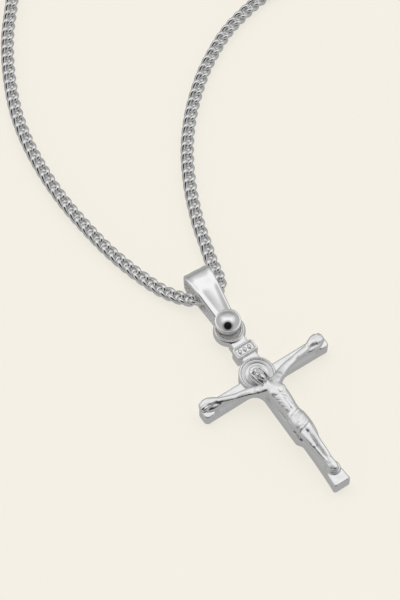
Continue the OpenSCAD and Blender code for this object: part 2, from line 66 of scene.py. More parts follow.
# Mesh helpers
def unit(v):
    v = np.asarray(v, float)
    return v / np.maximum(np.linalg.norm(v, axis=-1, keepdims=True), 1e-12)


def smoothstep(t):
    """A smooth rise from 0 to 1."""
    t = np.clip(t, 0, 1)
    return t * t * (3 - 2 * t)


def hump(value, middle, half):
    """A round rise to 1 at the middle value, and 0 beyond half its width."""
    return np.clip(1 - ((value - middle) / half) ** 2, 0, 1)


def spline(rows, steps):
    """A smooth curve through the rows of a table, each column treated alike."""
    p = np.asarray(rows, float)
    ext = np.vstack([2 * p[0] - p[1], p, 2 * p[-1] - p[-2]])
    out = []
    for i in range(len(p) - 1):
        a, b, c, d = ext[i:i + 4]
        for t in np.arange(steps) / steps:
            out.append(0.5 * (2 * b + (c - a) * t + (2 * a - 5 * b + 4 * c - d) * t ** 2
                              + (3 * b - a - 3 * c + d) * t ** 3))
    out.append(p[-1])
    return np.array(out)


def add_piece(name, verts, faces, material, slot, normals=None, painted_shade=None):
    """A new piece from points in millimetres, with its material; the name of its slot is not used."""
    mesh = bpy.data.meshes.new(name)
    faces = faces if isinstance(faces, list) else faces.tolist()
    mesh.from_pydata((verts * MM).tolist(), [], faces)
    mesh.shade_smooth()
    # The painted shade of each point is kept for the material, which darkens the colour with it
    if painted_shade is not None:
        layer = mesh.attributes.new("painted_shade", "FLOAT", "POINT")
        layer.data.foreach_set("value", painted_shade.astype(np.float32))
    if normals is not None:
        mesh.normals_split_custom_set_from_vertices(normals.tolist())
    mesh.materials.append(material)
    piece = bpy.data.objects.new(name, mesh)
    scene.collection.objects.link(piece)
    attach(piece, "root")
    return piece


def grid_faces(rows, columns, close_rows=False):
    """Quads between rings of points, where each ring closes on itself."""
    r, c = np.meshgrid(np.arange(rows if close_rows else rows - 1), np.arange(columns), indexing="ij")
    r2, c2 = (r + 1) % rows, (c + 1) % columns
    quads = [r * columns + c, r * columns + c2, r2 * columns + c2, r2 * columns + c]
    return np.stack(quads, -1).reshape(-1, 4)


def capped_faces(rows, columns):
    """The quads between rings of points, and a face over each end."""
    faces = grid_faces(rows, columns).tolist()
    faces.append(list(range(columns))[::-1])
    faces.append([(rows - 1) * columns + k for k in range(columns)])
    return faces


# Materials
CLOUD_SCALE, SCRATCH_SCALE, SCRATCH_DEPTH = 900, 6000, 0.0000015
# The dark tone of the painted shade in recesses
PAINTED_SHADE_TONE = (0.16, 0.155, 0.15, 1)


def put(node, values):
    """Sets a node's inputs by their names."""
    for name, value in values.items():
        node.inputs[name].default_value = value
    return node


def silver(name, base, roughness, grain, grain_depth, metallic=1.0, painted_shade=False):
    """Polished metal with a faint uneven polish, fine scratches and, where asked, painted shade that darkens
    its recesses.
    """
    mat = bpy.data.materials.new(name)
    mat.use_nodes = True
    nodes, links = mat.node_tree.nodes, mat.node_tree.links
    shader = put(nodes["Principled BSDF"], {"Metallic": metallic})
    coords = nodes.new("ShaderNodeTexCoord")

    def noise(scale, detail):
        node = put(nodes.new("ShaderNodeTexNoise"), {"Scale": scale, "Detail": detail, "Roughness": 0.5})
        links.new(coords.outputs["Object"], node.inputs["Vector"])
        return node.outputs["Fac"]

    def ramp(source, last, low, high):
        """From low to high while the source goes from 0.3 to its last value."""
        node = nodes.new("ShaderNodeMapRange")
        put(node, {"From Min": 0.3, "From Max": last, "To Min": low, "To Max": high})
        links.new(source, node.inputs["Value"])
        return node.outputs["Result"]

    def colour_mix(factor):
        node = nodes.new("ShaderNodeMix")
        node.data_type = "RGBA"
        links.new(factor, node.inputs["Factor"])
        return node

    def relief(source, strength, depth):
        node = put(nodes.new("ShaderNodeBump"), {"Strength": strength, "Distance": depth})
        links.new(source, node.inputs["Height"])
        return node

    clouds = noise(CLOUD_SCALE, 3)
    rough = ramp(clouds, 0.7, roughness * 0.75, roughness * 1.35)
    tone = put(colour_mix(clouds), {"A": (base * 0.985, base * 0.985, base * 0.985, 1),
                                    "B": (base * 1.01, base * 1.01, base * 1.012, 1)})
    colour = tone.outputs["Result"]
    # Painted shade: the colour is darkened towards a dark tone where the surface is recessed, and the metal
    # is made rougher there
    if painted_shade:
        held = nodes.new("ShaderNodeAttribute")
        held.attribute_name = "painted_shade"
        dark = ramp(held.outputs["Fac"], 1.1, 0, 0.55)
        shade = put(colour_mix(dark), {"B": PAINTED_SHADE_TONE})
        links.new(colour, shade.inputs["A"])
        colour = shade.outputs["Result"]
        rougher = nodes.new("ShaderNodeMath")
        rougher.operation = "MULTIPLY_ADD"
        links.new(dark, rougher.inputs[0])
        rougher.inputs[1].default_value = 0.25
        links.new(rough, rougher.inputs[2])
        rough = rougher.outputs[0]
    links.new(colour, shader.inputs["Base Color"])
    links.new(rough, shader.inputs["Roughness"])
    waves = relief(noise(grain, 2), 1.0, grain_depth)
    scratches = relief(noise(SCRATCH_SCALE, 2), 0.4, SCRATCH_DEPTH)
    links.new(waves.outputs["Normal"], scratches.inputs["Normal"])
    links.new(scratches.outputs["Normal"], shader.inputs["Normal"])
    return mat


CAST = silver("cast_silver", 0.93, 0.24, 700, 0.00002, painted_shade=True)
POLISHED = silver("polished_silver", 0.94, 0.09, 400, 0.000012)
# Satin silver for inner faces: rougher, and near white with a diffuse share, which lightens the shaded faces
# as painted light
SATIN_PAINTED_LIGHT = silver("satin_silver_painted_light", 0.97, 0.5, 400, 0.000012, metallic=0.25)
WIRE = silver("chain_silver", 0.92, 0.14, 900, 0.000012)


# Chain
CHAIN_W, CHAIN_T, LIFT = 2.4, 1.7, 0.775
CLASP_PLACE, CLASP_TURN = np.array([110.0, 156.0]), math.radians(-36.5)
RING_B_U, RING_R, RING_WIRE_R = 9.05, 1.15, 0.3
LINK_PITCH, LINK_WIRE, LINK_REACH, LINK_HALF_W, LINK_TWIST = 1.82, 0.82, 1.27, 0.79, 0.48
FILED, FILED_SOFT = 0.14, 0.135
# A place just outside the first ring on the clasp's line, and how far the path runs on from it
LEAD_U, LEAD_IN = -RING_R - RING_WIRE_R - 0.15, 2.5
# x, y and share of the lift over the bail's back strap, as in the solids
LEFT_STRAND = [
    [91, 159.5, 0], [74, 154.5, 0], [57, 144.5, 0], [41.5, 131, 0], [27.5, 116, 0], [14.5, 101, 0],
    [4.5, 87.7, 0], [-0.7, 80.8, 0], [-4.8, 73.3, 0], [-7.8, 65.4, 0], [-9.4, 56.8, 0],
    [-9.8, 47.5, 0], [-8.9, 37.5, 0], [-7.6, 31, 0], [-5.8, 25.2, 0], [-4.2, 21.7, 0.4],
    [-2.2, 19, 1]]
RIGHT_STRAND = [
    [0.5, 17.8, 1], [2.6, 17.9, 1], [3.9, 19.1, 0.8], [4.5, 21.1, 0.4], [5.1, 23.7, 0.1],
    [6, 26.6, 0], [7.5, 31.5, 0], [10.6, 38.7, 0], [14.8, 45.6, 0], [20.3, 51.8, 0],
    [27.2, 57.3, 0], [35.8, 61.5, 0], [48, 63.5, 0], [67.5, 62, 0], [88, 62.5, 0],
    [105.5, 68.5, 0], [120, 79, 0], [130.5, 94, 0], [135, 111, 0], [133, 129, 0]]


def clasp_point(u):
    return CLASP_PLACE + u * np.array([math.cos(CLASP_TURN), math.sin(CLASP_TURN)])


def chain_path():
    """The middle line of the chain, from inside the first end ring to inside the second."""
    leads = [(-LEAD_IN, 0.5), (0, 0.5), (CHAIN_W, 0.3), (2 * CHAIN_W, 0.1)]
    rows = [[*clasp_point(LEAD_U - d), z] for d, z in leads] + LEFT_STRAND + RIGHT_STRAND
    rows += [[*clasp_point(RING_B_U - LEAD_U + d), z] for d, z in leads[::-1]]
    p = spline(rows, 24)
    p[:, 2] = CHAIN_T / 2 + np.maximum(p[:, 2], 0) * LIFT
    return p


def curb_link(around, sides):
    """One twisted oval link of round wire, its upper and lower faces filed slightly flat."""
    t = np.arange(around) * 2 * math.pi / around
    centre = np.stack([LINK_REACH * np.cos(t), LINK_HALF_W * np.sin(t), LINK_TWIST * np.sin(2 * t)], -1)
    tangent = unit(np.stack([-LINK_REACH * np.sin(t), LINK_HALF_W * np.cos(t),
                             2 * LINK_TWIST * np.cos(2 * t)], -1))
    outward = unit(np.stack([np.cos(t) / LINK_REACH, np.sin(t) / LINK_HALF_W, np.zeros(around)], -1))
    outward = unit(outward - tangent * (outward * tangent).sum(-1, keepdims=True))
    upward = np.cross(tangent, outward)
    a = np.arange(sides) * 2 * math.pi / sides
    section = outward[:, None] * np.cos(a)[:, None] + upward[:, None] * np.sin(a)[:, None]
    link = (centre[:, None] + LINK_WIRE / 2 * section).reshape(-1, 3)
    z = link[:, 2]
    knee = CHAIN_T / 2 - FILED
    over = np.maximum(np.abs(z) - knee, 0)
    link[:, 2] = np.sign(z) * (np.minimum(np.abs(z), knee) + FILED_SOFT * (1 - np.exp(-over / FILED_SOFT)))
    return link


def curb_chain():
    """All the links, spaced evenly along the chain's path."""
    around, sides = 24, 10
    link = curb_link(around, sides)
    path = chain_path()
    length = np.concatenate([[0], np.cumsum(np.linalg.norm(np.diff(path, axis=0), axis=1))])

    def on_path(places):
        return np.stack([np.interp(places, length, path[:, k]) for k in range(3)], -1)

    # The far end of the first link and of the last goes round the wire of its end ring
    ring_middle, slack, look = 0.9, 0.05, 0.8
    start = ring_middle + RING_R - RING_WIRE_R - LINK_WIRE / 2 + LINK_REACH - slack
    run = length[-1] - 2 * start
    count = int(round(run / LINK_PITCH)) + 1
    places = start + np.arange(count) * run / (count - 1)
    x_axis = unit(on_path(places + look) - on_path(places - look))
    y_axis = unit(np.cross([0, 0, 1.0], x_axis))
    z_axis = np.cross(x_axis, y_axis)
    verts = (on_path(places)[:, None] + link[:, 0:1] * x_axis[:, None]
             + link[:, 1:2] * y_axis[:, None] + link[:, 2:3] * z_axis[:, None])
    quads = grid_faces(around, sides, close_rows=True)
    faces = (quads[None] + (np.arange(count) * around * sides)[:, None, None]).reshape(-1, 4)
    return verts.reshape(-1, 3), faces


chain = add_piece("curb_chain", *curb_chain(), WIRE, "chain_silver")
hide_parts("chain")


# Bail
BAIL_PLACE = np.array([0.3, 11.301])
BAIL_TURN = math.radians(-3)
BAIL_L, BAIL_TOP_W, BAIL_END_W, BAIL_DEPTH, STRAP_T = 11.4, 5.2, 3.0, 4.9, 0.55
FRONT_OUT, SEAT_TOP, DOME_R, DOME_H, PIN_R, END_DISC_R = 3.275, 3.825, 2.1, 0.95, 0.5, 2.0
BACK_LOW, CORNER_IN, CORNER_L, FRONT_CROWN, FRONT_LEVEL = 0.075, 0.6, 1.9, 0.1, 0.26
# Across the strap: distance in from its edge and height, on the outer face and on the inner face
OUTER_EDGE = [[0, 0.0], [0.03, 0.1], [0.09, 0.18], [0.18, 0.24], [0.3, 0.272], [0.42, 0.27], [0.56, 0.248],
              [0.72, 0.215], [0.9, 0.185], [1.1, 0.165]]
INNER_EDGE = [[0.02, -0.1], [0.07, -0.19], [0.15, -0.25], [0.3, -0.275], [0.6, -0.275], [1.1, -0.275]]


def bail_to_row(p):
    """From the bail's own line, v across it and u along it, to the row frame."""
    c, s = math.cos(BAIL_TURN), math.sin(BAIL_TURN)
    across, along = p[..., 0], p[..., 1]
    x = BAIL_PLACE[0] + across * c - along * s
    y = BAIL_PLACE[1] + across * s + along * c
    return np.stack([x, y, p[..., 2]], -1)


def strap_line():
    """Points of u and height along the strap, and the number of the one at the bend's middle."""
    t = STRAP_T / 2
    bend_u, bend_z = BAIL_L - BAIL_DEPTH / 2, BACK_LOW + BAIL_DEPTH / 2
    r = BAIL_DEPTH / 2 - t
    reach = np.array([-BAIL_END_W - bend_u, FRONT_OUT - t - bend_z])
    lean = math.atan2(reach[1], reach[0]) - math.acos(r / np.linalg.norm(reach))
    round_end = -END_DISC_R * np.sin(np.linspace(math.pi / 2, 0, 16))
    back = [(u, bend_z - r) for u in [*round_end, *np.linspace(0, bend_u, 24)[1:]]]
    bend = [(bend_u + r * math.cos(a), bend_z + r * math.sin(a))
            for a in np.linspace(-math.pi / 2, lean, 42)[1:]]
    touch = bend[-1]
    slope = (FRONT_OUT - t - touch[1]) / (-BAIL_END_W - touch[0])
    front_u = [*np.linspace(touch[0], 0, 30)[1:-1], *round_end[::-1]]
    front = [(u, touch[1] + slope * (u - touch[0])) for u in front_u]
    return np.array([*back, *bend, *front]), len(back) + len(bend) // 2


def strap_half_width(u):
    """Half the strap's width: a round end, a taper, and corners drawn in towards the bend."""
    half = (BAIL_END_W + (BAIL_TOP_W - BAIL_END_W) * max(u, 0) / (BAIL_L - 0.5)) / 2
    half -= CORNER_IN * float(smoothstep((u - BAIL_L + CORNER_L) / CORNER_L)) ** 2
    disc = math.sqrt(max(END_DISC_R ** 2 - u * u, 0.0004))
    return disc if u <= 0 else max(half, disc if u < END_DISC_R else 0)


def strap_section(half):
    """Places across the strap and their heights: over the outer face, then back over the inner face."""
    share = min(1, half / 1.3)
    over = [(half - e * share, h) for e, h in OUTER_EDGE]
    over += [((half - OUTER_EDGE[-1][0] * share) * m * 1.14, 0.163) for m in np.linspace(0.75, 0, 6)]
    under = [(half - e * share, h) for e, h in INNER_EDGE]
    outer = over + [(-v, h) for v, h in over[-2::-1]]
    inner = [(-v, h) for v, h in under] + [(0, INNER_EDGE[-1][1])] + under[::-1]
    return outer, inner


def strap():
    """Points and faces of the folded strap, and which faces are on its inner side."""
    line, bend_middle = strap_line()
    along = unit(np.gradient(line, axis=0))
    rings = []
    for i, ((u, z), (du, dz)) in enumerate(zip(line, along)):
        half = strap_half_width(u)
        outer, inner = strap_section(half)
        # The front is faintly crowned across, and levels out just below the bend
        crown = FRONT_CROWN * float(i > bend_middle) * smoothstep((u - 1.0) / 5.0)
        level = FRONT_LEVEL * max(-du, 0) * smoothstep((u - 6.4) / 2.9)
        ring = []
        for v, h in outer + inner:
            out = h + crown * (1 - min(abs(v) / max(half - 0.2, 0.1), 1) ** 2) ** 2
            ring.append((v, u + dz * out, z - level - du * out))
        rings.append(ring)
    rings = np.array(rings)
    rows, columns = rings.shape[:2]
    inside = [len(outer) <= k % columns < columns - 1 for k in range((rows - 1) * columns)] + [False, False]
    return bail_to_row(rings.reshape(-1, 3)), capped_faces(rows, columns), inside


def turned(profile, sides, place):
    """A piece turned about a vertical line, from a profile of radius and height."""
    p = np.array(profile, float)
    a = np.arange(sides) * 2 * math.pi / sides
    rings = np.stack([p[:, 0, None] * np.cos(a), p[:, 0, None] * np.sin(a),
                      np.repeat(p[:, 1, None], sides, 1)], -1)
    return rings.reshape(-1, 3) + np.array([place[0], place[1], 0]), capped_faces(len(p), sides)


def rivet():
    """The pin, the round seat and the domed head, turned as one form about the pin's line."""
    ball = (DOME_R ** 2 + DOME_H ** 2) / (2 * DOME_H)
    low = SEAT_TOP - 1.0
    seat = [[0.02, 0.36], [PIN_R - 0.05, 0.36], [PIN_R, 0.42], [PIN_R, low], [DOME_R - 0.06, low],
            [DOME_R + 0.02, low + 0.05], [DOME_R + 0.07, low + 0.16], [DOME_R + 0.07, SEAT_TOP - 0.25],
            [DOME_R + 0.04, SEAT_TOP - 0.14], [DOME_R, SEAT_TOP - 0.1]]
    bead = [[DOME_R + 0.15 * math.cos(a), SEAT_TOP + 0.02 + 0.12 * math.sin(a)]
            for a in np.radians([-40, -10, 20, 50, 80, 105])]
    dome = [[ball * math.sin(a), SEAT_TOP + DOME_H - ball + ball * math.cos(a)]
            for a in np.linspace(math.asin(DOME_R * 0.96 / ball), 0.004, 26)]
    return turned([*seat, *bead, *dome], 96, BAIL_PLACE)


def make_satin_painted_light(piece, chosen):
    """Gives the satin silver to the chosen faces of a piece: a rougher finish, and a near-white, partly
    diffuse copy of the silver that lightens these shaded faces as painted light.
    """
    piece.data.materials.append(SATIN_PAINTED_LIGHT)
    piece.data.polygons.foreach_set("material_index", np.array(chosen, np.int32))


verts, faces, inside = strap()
bail_strap = add_piece("bail_strap", verts, faces, POLISHED, "polished_silver")
# The strap's inner faces are lightened with the satin silver as painted light
make_satin_painted_light(bail_strap, inside)
bail_rivet = add_piece("bail_rivet", *rivet(), POLISHED, "polished_silver")
# The rivet's pin and the wall of its seat, up to the bead, lightened with the satin silver as painted light
points = bail_rivet.data.vertices
wall_top = (SEAT_TOP - 0.16) * MM
make_satin_painted_light(bail_rivet, [sum(points[k].co.z for k in face.vertices) / len(face.vertices) < wall_top
                        for face in bail_rivet.data.polygons])
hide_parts("bail")
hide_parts("bail")


# Modelling on a grid
RECESS_REACH = 0.22
CORNERS = [(a, b, c) for a in (0, 1) for b in (0, 1) for c in (0, 1)]


def oval_distance(side, rise, half_w, half_h, power):
    """Distance from an oval section, squarer than an ellipse where the power is above 2."""
    a, b = np.abs(side) / half_w, np.abs(rise) / half_h
    k = np.maximum((a ** power + b ** power) ** (1 / power), 1e-3)
    slope = k ** (1 - power) * np.hypot(a ** (power - 1) / half_w, b ** (power - 1) / half_h)
    return (k - 1) / (slope + 1e-5)


def to_stretch(x, y, a, b):
    """Over a flat grid, the share along a straight stretch from a to b, and the distance from it."""
    d = b - a
    t = np.clip(((x - a[0]) * d[0] + (y - a[1]) * d[1]) / (d @ d + 1e-9), 0, 1)
    return t, np.hypot(x - a[0] - t * d[0], y - a[1] - t * d[1])


class Clay:
    """A block of metal on a grid of distances in mm, worked with smooth joins and cuts."""

    def __init__(self, low, high, step):
        self.low, self.step = np.array(low, float), step
        count = np.ceil((np.array(high) - low) / step).astype(int) + 1
        self.axes = [self.low[k] + step * np.arange(count[k]) for k in range(3)]
        self.field = np.full(count, 6, np.float32)

    def part(self, low, high):
        """The slices and the coordinates of the grid between two corners."""
        cut = []
        for k in range(3):
            a = int((low[k] - self.low[k]) / self.step)
            b = int((high[k] - self.low[k]) / self.step) + 2
            cut.append(slice(max(a, 0), max(min(b, len(self.axes[k])), 0)))
        x, y, z = (self.axes[k][cut[k]].astype(np.float32) for k in range(3))
        return tuple(cut), x[:, None, None], y[None, :, None], z[None, None, :]

    def join(self, cut, d, soft):
        """Adds a form to a part of the grid."""
        f = self.field[cut]
        h = np.maximum(soft - np.abs(f - d), 0)
        self.field[cut] = np.minimum(f, d) - h * h / (4 * soft)

    def carve(self, cut, d, soft):
        """Takes a form away."""
        f = self.field[cut]
        h = np.maximum(soft - np.abs(f + d), 0)
        self.field[cut] = np.maximum(f, -d) + h * h / (4 * soft)

    def swept(self, rows, soft, steps=6, reach=0.45, power=2.0, cut_off=None):
        """An oval bar along rows of x, y, z, half width and half height, cut off beyond an upright plane."""
        r = spline(rows, steps)
        edge = np.maximum(r[:, 3], r[:, 4]).max() + reach
        cut, x, y, z = self.part(r[:, :3].min(0) - edge, r[:, :3].max(0) + edge)
        x2, y2 = x[:, :, 0], y[:, :, 0]
        best = np.full((x2.shape[0], y2.shape[1]), 1e9, np.float32)
        side, mid, half_w, half_h = (np.zeros_like(best) for _ in range(4))
        for a, b in zip(r[:-1], r[1:]):
            t, away = to_stretch(x2, y2, a[:2], b[:2])
            w = a[3] + t * (b[3] - a[3])
            near = away - w < best
            best = np.where(near, away - w, best)
            side = np.where(near, away, side)
            half_w = np.where(near, w, half_w)
            mid = np.where(near, a[2] + t * (b[2] - a[2]), mid)
            half_h = np.where(near, a[4] + t * (b[4] - a[4]), half_h)
        d = oval_distance(side[..., None], z - mid[..., None], half_w[..., None], half_h[..., None], power)
        if cut_off is not None:
            d = soft_max(d, cut_off[0] * x + cut_off[1] * y - cut_off[2], 0.1)
        self.join(cut, d.astype(np.float32), soft)

    def oval(self, centre, radii, soft, turn=None, carve=False):
        """An egg-shaped form, its radii along the axes of a turn."""
        edge = max(radii) + 0.4
        cut, x, y, z = self.part(np.array(centre) - edge, np.array(centre) + edge)
        p = np.stack(np.broadcast_arrays(x - centre[0], y - centre[1], z - centre[2]), -1)
        if turn is not None:
            p = p @ turn
        k0 = np.linalg.norm(p / radii, axis=-1)
        k1 = np.linalg.norm(p / np.square(radii), axis=-1) + 1e-5
        (self.carve if carve else self.join)(cut, (k0 * (k0 - 1) / k1).astype(np.float32), soft)

    def height(self, x, y):
        """Height of the metal's upper side at a place."""
        i = int(round((x - self.low[0]) / self.step))
        j = int(round((y - self.low[1]) / self.step))
        column = self.field[i, j]
        if not (column < 0).any():
            return CROSS_T
        k = int(np.nonzero(column < 0)[0][-1])
        a, b = column[k], column[min(k + 1, len(column) - 1)]
        return self.axes[2][k] + self.step * float(a / (a - b + 1e-9))

    def ridge(self, points, half_w, half_h, soft):
        """A ridge with thin ends that follows the upper side through points of x and y."""
        p = spline(points, 6)
        last = len(p) - 1
        rows = []
        for i, (x, y) in enumerate(p):
            share = 0.45 + 0.55 * min(1, min(i, last - i) / last * 2 * 2.2)
            rows.append([x, y, self.height(x, y), half_w * share, half_h * share])
        self.swept(rows, soft, 1, reach=0.2)

    def crease(self, points, half_w, depth):
        """A shallow groove along points of x and y, or a ridge where the depth is below zero."""
        p = spline(np.asarray(points, float)[:, :2], 6)
        cut, x, y, _ = self.part([*(p.min(0) - half_w), self.low[2]],
                                 [*(p.max(0) + half_w), self.axes[2][-1]])
        x2, y2 = x[:, :, 0], y[:, :, 0]
        best = np.zeros((x2.shape[0], y2.shape[1]), np.float32)
        for i, (a, b) in enumerate(zip(p[:-1], p[1:])):
            t, away = to_stretch(x2, y2, a, b)
            s = (i + t) / (len(p) - 1)
            fade = np.clip(5 * np.minimum(s, 1 - s), 0, 1)
            best = np.maximum(best, hump(away, 0, half_w) ** 2 * fade)
        self.field[cut] += (depth * best)[..., None]

    def at(self, points, field=None):
        """The field between the grid's own points."""
        field = self.field if field is None else field
        p = np.clip((points - self.low) / self.step, 0, np.array(field.shape) - 1.001)
        i = p.astype(int)
        t = p - i
        out = 0
        for dx, dy, dz in CORNERS:
            w = abs(1 - dx - t[:, 0]) * abs(1 - dy - t[:, 1]) * abs(1 - dz - t[:, 2])
            out = out + w * field[i[:, 0] + dx, i[:, 1] + dy, i[:, 2] + dz]
        return out

    def slope(self, points):
        """How fast the field rises along each axis."""
        reach = self.step * 0.8
        rise = [self.at(points + e) - self.at(points - e) for e in np.eye(3) * reach]
        return np.stack(rise, -1) / (2 * reach)

    def skin(self):
        """Points, faces, normals and the painted shade of the surface, from how recessed it is."""
        f = self.field
        inside = f < 0
        total = np.zeros(tuple(n - 1 for n in f.shape), np.int8)
        for a, b, c in CORNERS:
            total += inside[a:f.shape[0] - 1 + a, b:f.shape[1] - 1 + b, c:f.shape[2] - 1 + c]
        # One point in each cell that the surface crosses, at the middle of its crossings
        cells = np.argwhere((total > 0) & (total < 8))
        index = np.full(total.shape, -1, np.int32)
        index[tuple(cells.T)] = np.arange(len(cells))
        place = np.zeros((len(cells), 3))
        found = np.zeros(len(cells))
        for a in CORNERS:
            for k in range(3):
                if a[k]:
                    continue
                b = list(a)
                b[k] = 1
                fa, fb = f[tuple((cells + a).T)], f[tuple((cells + b).T)]
                crosses = (fa < 0) != (fb < 0)
                t = fa / np.where(crosses, fa - fb, 1)
                p = np.array(a, float) + t[:, None] * (np.array(b) - a)
                place[crosses] += p[crosses]
                found[crosses] += 1
        verts = self.low + (cells + place / found[:, None]) * self.step
        # One face round each edge of the grid that the surface crosses
        faces = []
        for k in range(3):
            u, w = (k + 1) % 3, (k + 2) % 3
            lower, upper = [slice(1, -1)] * 3, [slice(1, -1)] * 3
            lower[k], upper[k] = slice(0, -1), slice(1, None)
            first = inside[tuple(lower)]
            spots = np.argwhere(first != inside[tuple(upper)])
            out = first[tuple(spots.T)]
            spots = spots + (np.arange(3) != k)
            eu, ew = np.eye(3, dtype=int)[[u, w]]
            round_edge = (spots - eu - ew, spots - ew, spots, spots - eu)
            quad = np.stack([index[tuple(p.T)] for p in round_edge], -1)
            quad[~out] = quad[~out][:, ::-1]
            faces.append(quad)
        faces = np.concatenate(faces)
        faces = faces[(faces >= 0).all(1)]
        # The points are drawn onto the surface
        for _ in range(2):
            g = self.slope(verts)
            step = np.clip(self.at(verts) / np.maximum((g * g).sum(1), 0.2), -self.step, self.step)
            verts = verts - step[:, None] * g
        normals = unit(self.slope(verts))
        # In a recess other metal is near, so the field grows less than the distance walked, and more shade is
        # painted there
        painted_shade = 1 - self.at(verts + normals * RECESS_REACH) / RECESS_REACH
        return verts, faces, normals, np.clip(painted_shade, 0, 2)


def only_used(verts, faces, *values):
    """The points that the faces use, with the faces and values that go with them."""
    used = np.zeros(len(verts), bool)
    used[faces.ravel()] = True
    number = np.cumsum(used) - 1
    return [verts[used], number[faces], *(v[used] for v in values)]


# Cross
CROSS_T, FOOT_REACH, ARM_REACH, ARM_W, ARM_END_W = 2.5, 22.9, 12.4, 2.5, 2.7
SHAFT_W, FOOT_W, BACKING_W, BACKING_REACH, FILLET_R = 2.5, 3.2, 3.9, 13.3, 2
CORNER_R, FOOT_CORNER_R, NECK_W = 0.8, 0.45, 3
PLATE_W, PLATE_L, PLATE_T, PLATE_Y = 4, 2.2, 2.95, 5.8
HALO_R, HALO_T, HALO_SHIFT, HALO_Y = 3.1, 3.1, 0.8, 0.9
EYE_Y, EYE_R, EYE_HOLE_R, EYE_HOLE_UP, EYE_T, EYE_MID, EYE_EDGE_R = 10.4, 2.75, 1.0, 0.6, 1.8, 1.75, 0.5
BOTTOM_EDGE_R, PLATE_UPPER_R, PLATE_LOWER_R = 0.2, 0.6, 0.15
LOZENGE_GAP, LOZENGE_HALF_L, LOZENGE_SHARE = 0.92, 0.62, 0.62


def arc(x, y, r, start, end, count):
    return [(x + r * math.cos(a), y + r * math.sin(a)) for a in np.radians(np.linspace(start, end, count))]


def mirrored(right):
    """A closed outline from its right half, which runs upwards."""
    return np.array(right + [(-x, y) for x, y in right[::-1]])


def cross_outline():
    narrow = FOOT_REACH - BACKING_REACH

    def arm_edge(side, shares):
        return [(s * ARM_REACH, side * (ARM_W / 2 + (ARM_END_W - ARM_W) / 2 * s ** 3)) for s in shares]

    right = arc(FOOT_W / 2 - FOOT_CORNER_R, FOOT_CORNER_R - FOOT_REACH, FOOT_CORNER_R, -90, 0, 8)
    right += [(SHAFT_W / 2 + (FOOT_W - SHAFT_W) / 2 * (1 - s) ** 2, s * narrow - FOOT_REACH)
              for s in np.linspace(0.1, 0.9, 14)]
    right += [(SHAFT_W / 2 + (BACKING_W - SHAFT_W) / 4 * (1 - math.cos(math.pi * s)),
               -BACKING_REACH + 1.5 * (s - 0.2)) for s in np.linspace(0, 1, 12)]
    right += arc(BACKING_W / 2 + FILLET_R, -ARM_W / 2 - FILLET_R, FILLET_R, 180, 90, 18)
    right += arm_edge(-1, np.linspace(0.4, 0.9, 8))
    right += arc(ARM_REACH - CORNER_R, CORNER_R - ARM_END_W / 2, CORNER_R, -90, 0, 10)
    right += arc(ARM_REACH - CORNER_R, ARM_END_W / 2 - CORNER_R, CORNER_R, 0, 90, 10)
    right += arm_edge(1, np.linspace(0.9, 0.4, 8))
    right += arc(NECK_W / 2 + FILLET_R / 2, (ARM_W + FILLET_R) / 2, FILLET_R / 2, 270, 180, 9)
    right += [(NECK_W / 2, EYE_Y - EYE_R + 0.7)]
    return mirrored(right)


def plate_outline():
    half_w, half_l = PLATE_W / 2, PLATE_L / 2
    lower = arc(half_w - PLATE_LOWER_R, PLATE_Y - half_l + PLATE_LOWER_R, PLATE_LOWER_R, -90, 0, 4)
    upper = arc(half_w - PLATE_UPPER_R, PLATE_Y + half_l - PLATE_UPPER_R, PLATE_UPPER_R, 0, 90, 8)
    return mirrored(lower + upper)


def outline_distance(points, x, y):
    """Distance from a closed outline over a flat grid, below zero inside."""
    x, y = x[:, None].astype(np.float32), y[None, :].astype(np.float32)
    best = np.full((x.shape[0], y.shape[1]), 1e9, np.float32)
    odd = np.zeros(best.shape, bool)
    for a, b in zip(points, np.roll(points, -1, axis=0)):
        d = b - a
        t = np.clip(((x - a[0]) * d[0] + (y - a[1]) * d[1]) / (d @ d + 1e-12), 0, 1)
        best = np.minimum(best, (x - a[0] - t * d[0]) ** 2 + (y - a[1] - t * d[1]) ** 2)
        if a[1] != b[1]:
            odd ^= ((a[1] > y) != (b[1] > y)) & (x < a[0] + (y - a[1]) * d[0] / d[1])
    return np.where(odd, -1, 1) * np.sqrt(best)


def soft_max(a, b, soft):
    """What two forms share, with a soft edge between them."""
    h = np.maximum(soft - np.abs(a - b), 0)
    return np.maximum(a, b) + h * h / (4 * soft)


def rounded(side, rise, r):
    """Distance from a plate with rounded edges, from how far a point is past its rim and its faces."""
    side, rise = side + r, rise + r
    return np.hypot(np.maximum(side, 0), np.maximum(rise, 0)) + np.minimum(np.maximum(side, rise), 0) - r


def slab(flat_d, z, low, high, top_r):
    """A plate of an outline between two heights, its upper edge of a radius of its own."""
    r = np.where(z > (low + high) / 2, top_r, BOTTOM_EDGE_R)
    return rounded(flat_d, np.abs(z - (low + high) / 2) - (high - low) / 2, r)


def shape_bars(clay, cut, x, y, z):
    """Both bars, with a slope along their upper edges that is wider beside the figure."""
    x2, y2 = x[:, :, 0], y[:, :, 0]
    flat = outline_distance(cross_outline(), x[:, 0, 0], y[0, :, 0])
    edge_r = (0.2 + 0.16 * smoothstep((-21.5 - y2) / 1.2))[..., None]
    bars = slab(flat[..., None], z, 0, CROSS_T, edge_r)
    under_arm = smoothstep((-0.1 - y2) / 0.5) * smoothstep((11.0 - np.abs(x2)) / 1.5)
    beside = smoothstep((y2 + 21.0) / 2.5)
    width = 0.1 + np.where(y2 > -0.1, 0, np.where(np.abs(x2) > 2.6, 0.95 * under_arm, 0.85 * beside))
    slope = 0.79 * (flat + width)[..., None] + 0.61 * (z - CROSS_T)
    clay.join(cut, soft_max(bars, slope, 0.2).astype(np.float32), 0.05)


